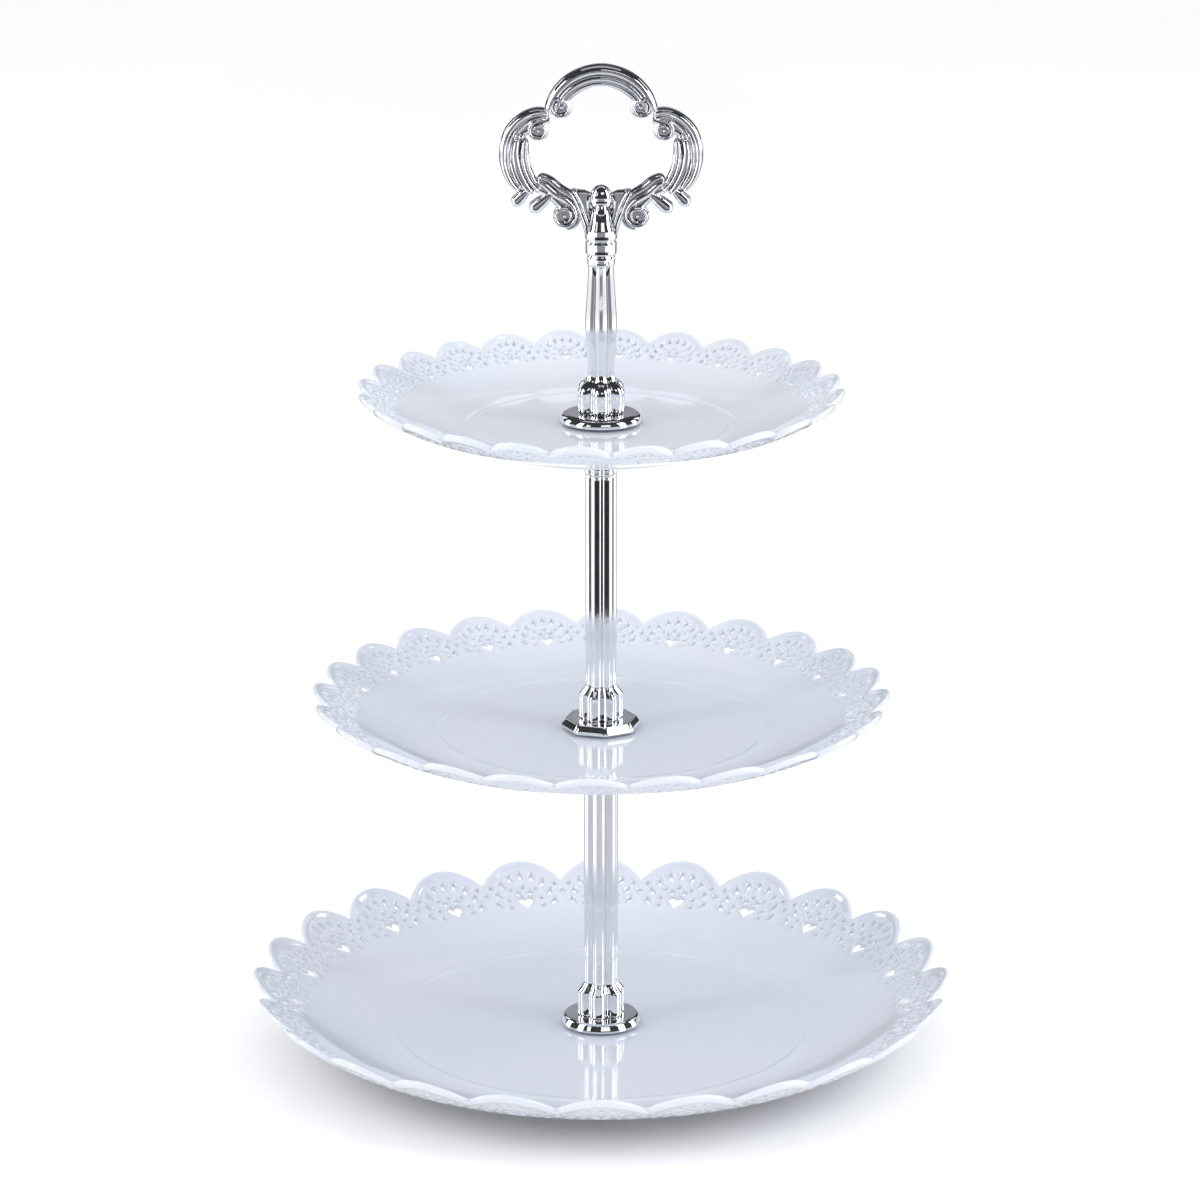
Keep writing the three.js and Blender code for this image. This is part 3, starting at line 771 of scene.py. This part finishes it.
def bottom_screw():
    """A pan-head machine screw with a cross recess, its thread above the head."""
    bottom, top = heights("bottom_screw")
    head_top = bottom + SCREW_HEAD
    count, pitch = 96, 1.0
    a = np.arange(count) * TAU / count
    nearest_arm = np.maximum(np.minimum(np.abs(np.sin(a)), np.abs(np.cos(a))), 1e-6)
    cross = np.minimum(CROSS_RECESS["half_width"] / nearest_arm, CROSS_RECESS["arm"])

    def ring(radii, z):
        return np.stack([radii * np.cos(a), radii * np.sin(a), np.full(count, z)], 1)

    rings = [ring(cross * 0.55, bottom + CROSS_RECESS["depth"]), ring(cross, bottom)]
    dome = rounded([(4.4, bottom), (5.4, bottom + 0.35), (6.0, bottom + 1.1), (6.0, head_top)], 0.4)
    rings += [circle(r, z, count) for r, z in dome]
    rings += [circle(M6_RADIUS, head_top, count)]
    for z in np.linspace(head_top + 0.1, top, 150):
        chamfer = max(0.0, 0.7 - (top - z))
        rings.append(ring(np.minimum(M6_RADIUS - 0.54 * thread_form(z, a, pitch), M6_RADIUS - chamfer), z))
    verts, faces = ring_body(rings, False)
    piece = add_piece("cross_head_screw", verts, faces, STEEL, "base", ["bottom_screw"])
    sharpen(piece, 40)


bottom_screw()


# ---- Handle -------------------------------------------------------------------------------------------

STEM_TURN = 30
# Heights above the top plate's floor, with the radius over the lobes at each.
STEM_PROFILE = [
    (4.4, 8.5), (4.9, 9.1), (5.8, 9.4), (8.5, 9.5), (11.6, 9.45), (12.9, 9.25), (14.0, 8.7), (14.9, 7.8),
    (15.6, 6.8), (16.2, 6.1), (17.0, 5.65), (18.2, 5.4), (21.2, 5.3), (24, 5.4), (28, 5.7), (33, 6.1),
    (36.5, 6.25), (39.5, 6.2), (44, 5.85), (49, 5.5), (54, 5.2), (58.4, 5.0), (58.8, 5.1), (59.1, 5.5),
    (59.6, 5.65), (61.8, 5.65), (62.3, 5.5), (62.6, 5.3),
]
STEM_FOOT = 4.4
STEM_BORE_TOP = 18
STEM_STUD_HOLE = 52
STEM_ROUND_FROM = 58.6


def stem():
    floor = PLATES["top_plate"]["floor"]
    rings = [circle(BORE, floor + z, COLUMN_SEGMENTS) for z in (STEM_BORE_TOP, STEM_FOOT)]
    for height, radius in STEM_PROFILE:
        rounder = np.clip((height - STEM_ROUND_FROM) / 0.6, 0, 1)
        ratio = np.interp(height, [14, 18], [COLLAR_LOBES, TUBE_LOBES])
        rings.append(lobed_ring(radius, floor + height, STEM_TURN, ratio, 0.85 * rounder))
    top = floor + STEM_PROFILE[-1][0]
    rings += [circle(M5_HOLE, z, COLUMN_SEGMENTS) for z in (top, floor + STEM_STUD_HOLE)]
    verts, faces = ring_body(rings, False)
    piece = add_piece("fluted_stem", verts, faces, CHROME, "handle", ["handle_stem"])
    sharpen(piece, 42)


stem()


def smooth_line(points, count):
    """A Catmull-Rom line through points, resampled to even steps."""
    p = np.array([points[0], *points, points[-1]], float)
    fine = []
    for k in range(1, len(p) - 2):
        for t in np.linspace(0, 1, 24, endpoint=False):
            a, b, c, d = p[k - 1], p[k], p[k + 1], p[k + 2]
            square = (2 * a - 5 * b + 4 * c - d) * t**2
            cube = (3 * b - a - 3 * c + d) * t**3
            fine.append(0.5 * (2 * b + (c - a) * t + square + cube))
    fine.append(p[-2])
    fine = np.array(fine)
    run = np.concatenate([[0], np.cumsum(np.linalg.norm(np.diff(fine, axis=0), axis=1))])
    at = np.linspace(0, run[-1], count)
    return np.stack([np.interp(at, run, fine[:, i]) for i in range(2)], 1)


def arc_line(x, z, radius, start, end, count, end_radius=None):
    a = np.radians(np.linspace(start, end, count))
    r = np.linspace(radius, radius if end_radius is None else end_radius, count)
    return np.stack([x + r * np.cos(a), z + r * np.sin(a)], 1)


def section(reeds, samples=10):
    """Half-depths across a bar of unit width: reeds are (share of the width, half-depth)."""
    across, depth = [], []
    at = -0.5
    for share, half in reeds:
        for s in np.linspace(-1, 1, samples, endpoint=False):
            across.append(at + share * (s + 1) / 2)
            depth.append(half * (0.6 + 0.4 * math.sqrt(1 - s * s)))
        at += share
    across.append(0.5)
    depth.append(reeds[-1][1] * 0.6)
    across, depth = np.array(across), np.array(depth)
    depth *= np.sqrt(np.clip(1 - np.abs(2 * across) ** 5, 0.0, 1))
    return across, depth


def reeded_bar(line, width, reeds, taper=(1.5, 1.5)):
    """A bar along a line in the ring's own plane; its ends round off over the taper lengths."""
    line = np.asarray(line, float)
    n = len(line)
    width = np.interp(np.linspace(0, 1, n), np.linspace(0, 1, len(width)), width)
    direction = np.gradient(line, axis=0)
    direction /= np.linalg.norm(direction, axis=1)[:, None]
    normal = np.stack([-direction[:, 1], direction[:, 0]], 1)
    run = np.concatenate([[0], np.cumsum(np.linalg.norm(np.diff(line, axis=0), axis=1))])
    close = np.ones(n)
    for length, along in ((taper[0], run), (taper[1], run[-1] - run)):
        if length > 0:
            t = np.clip(along / length, 0.03, 1)
            close = np.minimum(close, np.sqrt(1 - (1 - t) ** 2))
    across, depth = section(reeds)
    rings = []
    for k in range(n):
        u = across * width[k] * close[k]
        v = depth * (0.35 + 0.65 * close[k])
        front = np.stack([line[k, 0] + normal[k, 0] * u, -v, line[k, 1] + normal[k, 1] * u], 1)
        back = front[1:-1][::-1] * (1, -1, 1)
        rings.append(np.concatenate([front, back]))
    return ring_body(rings, False)


def ball(x, y, z, radii, count=24):
    rings = []
    for tilt in np.radians(np.linspace(-84, 84, 17)):
        t, r = math.sin(tilt), math.cos(tilt)
        a = np.arange(count) * TAU / count
        rings.append(np.stack([
            x + radii[0] * r * np.cos(a), y + radii[1] * r * np.sin(a), np.full(count, z + radii[2] * t),
        ], 1))
    return ring_body(rings, False)


DISC_EDGE = [(0.5, -1), (0.85, -0.9), (1, -0.45), (1, 0.45), (0.85, 0.9), (0.5, 1)]


def disc(x, z, radius, half, count=40):
    """A flat button across the ring's plane, with rounded faces."""
    rings = []
    a = np.arange(count) * TAU / count
    for out, deep in DISC_EDGE:
        r, y = radius * out, half * deep
        rings.append(np.stack([x + r * np.cos(a), np.full(count, y), z + r * np.sin(a)], 1))
    return ring_body(rings, False)


def volute(x, z, radius, start, turns, roll):
    """A curl that winds inwards round an eye, on a thinner button."""
    curl = arc_line(x, z, radius - roll / 2, start, start + 360 * turns, 80, radius * 0.36)
    return [
        disc(x, z, radius - 0.7, 1.6),
        reeded_bar(curl, [roll, roll * 0.6], [(1.0, 3.8)], (0.0, 1.0)),
        ball(x, 0, z, (radius * 0.2, 3.5, radius * 0.2)),
    ]


def leaf_drop(root, tip, radius):
    line = smooth_line([root, [(root[0] + tip[0]) / 2 + 0.3, (root[1] + tip[1]) / 2 - 0.2], tip], 24)
    widths = [radius * 1.2, radius * 1.7, radius * 2.3, radius * 2.5, radius * 2.2]
    return reeded_bar(line, widths, [(1.0, 2.6)], (0.0, radius * 0.9))


def right_half():
    """The right-hand scrolls and leaves of the ring, [x, z] from the joint with the stem."""
    shoulder = smooth_line([
        [18.6, 50.9], [22.4, 51.3], [26.4, 50.0], [30.2, 46.9], [32.9, 42.7], [33.9, 37.3],
        [33.6, 32.2], [31.8, 27.4], [28.8, 23.6],
    ], 90)
    outer_leaf = smooth_line([[30.0, 42.4], [30.7, 36.6], [29.6, 30.6], [27.2, 25.6], [24.6, 22.4]], 50)
    inner_leaf = smooth_line([[27.0, 42.2], [27.5, 36.4], [26.5, 31.0], [24.4, 26.6], [21.6, 23.6]], 50)
    scroll = smooth_line([
        [23.0, 28.0], [19.6, 26.6], [15.8, 23.4], [11.8, 20.9], [8.9, 17.6], [8.3, 13.8], [10.0, 10.9],
        [13.0, 9.9],
    ], 80)
    calyx = smooth_line([[10.6, 23.6], [8.8, 20.4], [7.2, 16.4], [5.6, 12.0], [4.6, 8.0]], 50)
    parts = [
        reeded_bar(shoulder, [4.4, 5.2, 5.6, 5.6, 5.2, 4.6, 3.2], [(0.46, 2.9), (0.54, 3.6)], (1.0, 1.4)),
        reeded_bar(outer_leaf, [2.6, 3.6, 3.6, 2.6], [(1.0, 3.3)], (1.6, 1.4)),
        reeded_bar(inner_leaf, [2.6, 3.8, 3.8, 3.0], [(0.5, 2.8), (0.5, 3.1)], (1.6, 1.4)),
        reeded_bar(scroll, [4.2, 5.6, 5.8, 5.4, 4.0, 3.0, 2.4], [(0.5, 2.9), (0.5, 3.5)], (1.8, 0.8)),
        reeded_bar(calyx, [3.0, 3.4, 3.2, 2.8], [(0.5, 3.2), (0.5, 3.5)], (1.0, 0.0)),
    ]
    parts += volute(14.4, 53.8, 4.8, 75, -1.3, 2.1)
    parts += volute(22.4, 45.4, 4.5, 75, -1.2, 2.0)
    parts += volute(13.1, 14.3, 4.9, 200, 1.25, 2.0)
    parts += [
        leaf_drop([17.4, 22.4], [25.2, 15.8], 2.1),
        leaf_drop([25.6, 24.2], [31.4, 18.0], 1.9),
        ball(28.6, 0, 43.2, (1.7, 3.0, 1.3)),
        ball(30.9, 0, 43.6, (1.3, 3.0, 1.5)),
    ]
    webs = [
        ([[25.5, 47.5], [30.4, 43.5], [31.0, 37.0], [29.6, 30.8], [26.6, 25.2]], 40, [7, 5, 6, 7, 6]),
        ([[18.5, 50.0], [24.0, 48.2]], 12, [5, 5]),
        ([[19.5, 55.5], [15.5, 53.0]], 12, [5, 4]),
        ([[24.0, 25.0], [18.0, 22.6], [13.0, 18.0]], 30, [4, 5, 5]),
        ([[6.0, 23.4], [6.6, 19.0], [4.4, 11.0]], 30, [8, 5, 4]),
    ]
    for points, count, widths in webs:
        parts.append(reeded_bar(smooth_line(points, count), widths, [(1.0, 1.9)], (0.6, 0.6)))
    return parts


SOCKET_PROFILE = [
    (2.6, 0), (5.1, 0), (5.6, 0.5), (5.7, 4.4), (5.2, 4.9), (5.2, 5.4), (5.8, 5.9), (5.9, 9.2), (5.4, 10.4),
    (4.6, 12.5), (3.9, 16), (2.6, 18.5),
]


def finger_ring():
    """Every bar and leaf of the cast ring, run into each other as one piece."""
    arch = arc_line(0, 47.2, 18.0, 164, 16, 120)
    reeds = [(0.27, 2.7), (0.27, 3.3), (0.46, 3.8)]
    parts = [reeded_bar(arch, [6.8, 8.2, 8.6, 8.2, 6.8], reeds, (0.6, 0.6))]
    for verts, faces in right_half():
        parts.append((verts, faces))
        flipped = np.asarray(verts) * (-1, 1, 1)
        parts.append((flipped, [tuple(reversed(f)) for f in faces]))
    parts.append(turned(rounded(SOCKET_PROFILE, 0.3), False, 64))
    parts.append(ball(0, 0, 20.3, (4.2, 3.4, 5.1), 32))
    parts.append(ball(0, 0, 14.5, (3.5, 4.2, 6.4), 32))
    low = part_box("finger_ring")[0]
    verts, faces = [], []
    for part_verts, part_faces in parts:
        base = len(verts)
        verts += [tuple(p) for p in np.asarray(part_verts) + (0, 0, low.z / MM)]
        faces += [tuple(base + i for i in f) for f in part_faces]
    piece = add_piece("scroll_ring", verts, faces, CHROME, "handle", ["finger_ring"], weld=True)
    sharpen(piece, 55)


finger_ring()


# ---- Studio -------------------------------------------------------------------------------------------


def plain_look(name, low, high, scale, glow=0.0):
    """A matt paper or sheet, a little uneven between two colours; glow makes it shine. On sheets that only
    reflections see, the colour is a painted reflection and the glow a painted highlight.
    """
    look = Look(name)
    look.colour(look.mix(look.spread(look.noise(scale), 0, 1), low, high))
    look.shader.inputs["Roughness"].default_value = 0.7
    look.shader.inputs["Emission Color"].default_value = (1, 1, 1, 1)
    look.shader.inputs["Emission Strength"].default_value = glow
    return look.material


def stage_sheet(name, verts, faces, material, place=(0, 0, 0), facing=(0, 0, 0)):
    """A sheet of the studio, in metres. It isn't part of the object."""
    mesh = bpy.data.meshes.new(name)
    mesh.from_pydata(verts, [], faces)
    mesh.materials.append(material)
    sheet = bpy.data.objects.new(name, mesh)
    sheet.location = place
    sheet.rotation_euler = facing
    bpy.context.scene.collection.objects.link(sheet)
    return sheet


def card(name, place, size, facing, material):
    """A flat rectangular sheet, turned from lying flat by its facing angles."""
    w, h = size[0] / 2, size[1] / 2
    verts = [(-w, -h, 0), (w, -h, 0), (w, h, 0), (-w, h, 0)]
    return stage_sheet(name, verts, [(0, 1, 2, 3)], material, place, facing)


def reflected_only(sheet):
    """Leaves a sheet visible to reflections alone, so that it neither shows nor lights matt surfaces: its
    colour is a painted reflection in the metal and the gloss.
    """
    sheet.visible_camera = False
    sheet.visible_diffuse = False
    sheet.visible_shadow = False
    sheet.visible_transmission = False


def painted_dark_hood(name, radius, material):
    """A dark dome over the set, open below and seen only in reflections, so that bright metal has something
    dark to show: a painted dark reflection.
    """
    side = [(radius * math.cos(t), radius * math.sin(t)) for t in np.radians(np.linspace(0, 88, 12))]
    verts, faces = turned([(radius, -0.2 * radius)] + side, False, 48)
    return stage_sheet(name, np.asarray(verts).tolist(), faces[:-2] + faces[-1:], material)


def painted_reflection_sector(name, near, far, start, end, material):
    """A flat sheet on the table between two distances and two bearings from the front, in degrees, seen only
    in reflections: its colour is a painted reflection where the camera sees the white table.
    """
    bearings = np.radians(np.linspace(start, end, 24))
    verts = [(d * math.sin(b), -d * math.cos(b), 0.001) for d in (near, far) for b in bearings]
    n = len(bearings)
    faces = [(i, i + 1, n + i + 1, n + i) for i in range(n - 1)]
    reflected_only(stage_sheet(name, verts, faces, material))


def painted_reflection_card(name, bearing, height, distance, size, material):
    """An upright card at a bearing from the front, seen only in the metal and the gloss: its colour is a
    painted reflection there, and a glowing card's light a painted highlight.
    """
    b = math.radians(bearing)
    place = (distance * math.sin(b), -distance * math.cos(b), height)
    reflected_only(card(name, place, size, (math.radians(90), 0, b), material))


def softbox(name, location, target, size, watts, tint=(1, 1, 1)):
    """A rectangular area lamp that points at a target."""
    light = bpy.data.lights.new(name, "AREA")
    light.shape = "RECTANGLE"
    light.size, light.size_y = size
    light.energy = watts
    light.color = tint
    lamp = bpy.data.objects.new(name, light)
    lamp.location = location
    direction = Vector(target) - Vector(location)
    lamp.rotation_euler = direction.to_track_quat("-Z", "Y").to_euler()
    bpy.context.scene.collection.objects.link(lamp)


TABLE = plain_look("table_white", (0.93, 0.925, 0.91), (0.95, 0.945, 0.93), 3)
# Colours of the sheets seen only in reflections: painted dark, grey and pale reflections in the metal and the
# gloss.
DARK = plain_look("painted_dark_reflection", (0.006, 0.006, 0.008), (0.016, 0.016, 0.02), 5)
DUSK = plain_look("painted_dusk_reflection", (0.018, 0.018, 0.022), (0.028, 0.028, 0.034), 2)
MID = plain_look("painted_grey_reflection", (0.2, 0.2, 0.23), (0.28, 0.28, 0.31), 4)
PALE = plain_look("painted_pale_reflection", (0.42, 0.42, 0.46), (0.52, 0.52, 0.56), 4)
# White and glowing cards seen only in reflections: painted highlights in the metal and the gloss.
WHITE = plain_look("painted_white_reflection", (0.95, 0.95, 0.95), (0.98, 0.98, 0.98), 4)
GLOW = plain_look("painted_highlight_card", (0.95, 0.95, 0.95), (0.98, 0.98, 0.98), 4, 4.0)

card("table", (0, 0, -0.0003), (30, 30), (0, 0, 0), TABLE)

# Sheets that only reflections see: painted dark and grey reflections, and painted highlights from the white
# and glowing cards.
reflected_only(painted_dark_hood("painted_dark_hood", 5.0, DUSK))
painted_reflection_sector("painted_dark_reflection_front", 0.56, 0.98, -48, 58, DARK)
painted_reflection_sector("painted_grey_reflection_front", 0.98, 3.0, -30, 30, MID)
painted_reflection_sector("painted_pale_reflection_front", 0.17, 0.56, -48, 58, PALE)
painted_reflection_sector("painted_grey_reflection_right", 0.16, 2.0, 124, 172, MID)
painted_reflection_sector("painted_grey_reflection_left", 0.16, 2.0, -172, -124, MID)
# Glowing and white cards seen only in reflections paint highlights in the metal and the gloss; the grey card
# paints a grey reflection.
for side, name in ((-1, "left"), (1, "right")):
    painted_reflection_card(f"glowing_card_front_{name}", side * 64, 0.62, 1.6, (0.44, 0.95), GLOW)
    painted_reflection_card(f"glowing_card_back_{name}", side * 108, 0.62, 1.6, (0.40, 0.95), GLOW)
painted_reflection_card("white_card_front", 14, 1.5, 2.0, (1.0, 0.7), WHITE)
painted_reflection_card("white_card_front_left", -38, 1.2, 2.0, (0.4, 0.9), WHITE)
painted_reflection_card("white_card_back_left", -140, 0.85, 1.6, (0.4, 0.7), WHITE)
painted_reflection_card("white_card_back_right", 134, 0.9, 1.6, (0.4, 0.8), WHITE)
painted_reflection_card("painted_grey_reflection_back", 180, 0.95, 2.2, (1.5, 0.9), MID)

# Lamps.
softbox("overhead", (0, 0.35, 1.7), (0, 0, 0.1), (1.2, 0.8), 1.2)
softbox("left", (-1.4, -0.7, 0.9), (0, 0, 0.15), (0.35, 1.2), 6)
softbox("right", (1.4, -0.62, 0.9), (0, 0, 0.15), (0.5, 1.4), 9, (0.94, 1.0, 1.06))

world = bpy.data.worlds.new("studio")
bpy.context.scene.world = world
world.use_nodes = True
world.node_tree.nodes["Background"].inputs["Color"].default_value = (0.97, 0.98, 1.0, 1)
world.node_tree.nodes["Background"].inputs["Strength"].default_value = 1.14

CAMERA_PLACE = (-0.0004, -1.849, 0.7141)
CAMERA_FALL = 16.33
LENS = 157.6

camera_data = bpy.data.cameras.new("camera")
camera_data.sensor_width = 36
camera_data.lens = LENS
camera = bpy.data.objects.new("camera", camera_data)
camera.location = CAMERA_PLACE
camera.rotation_euler = (math.radians(90 - CAMERA_FALL), 0, 0)
bpy.context.scene.collection.objects.link(camera)
bpy.context.scene.camera = camera
bpy.context.scene.view_settings.view_transform = "Standard"
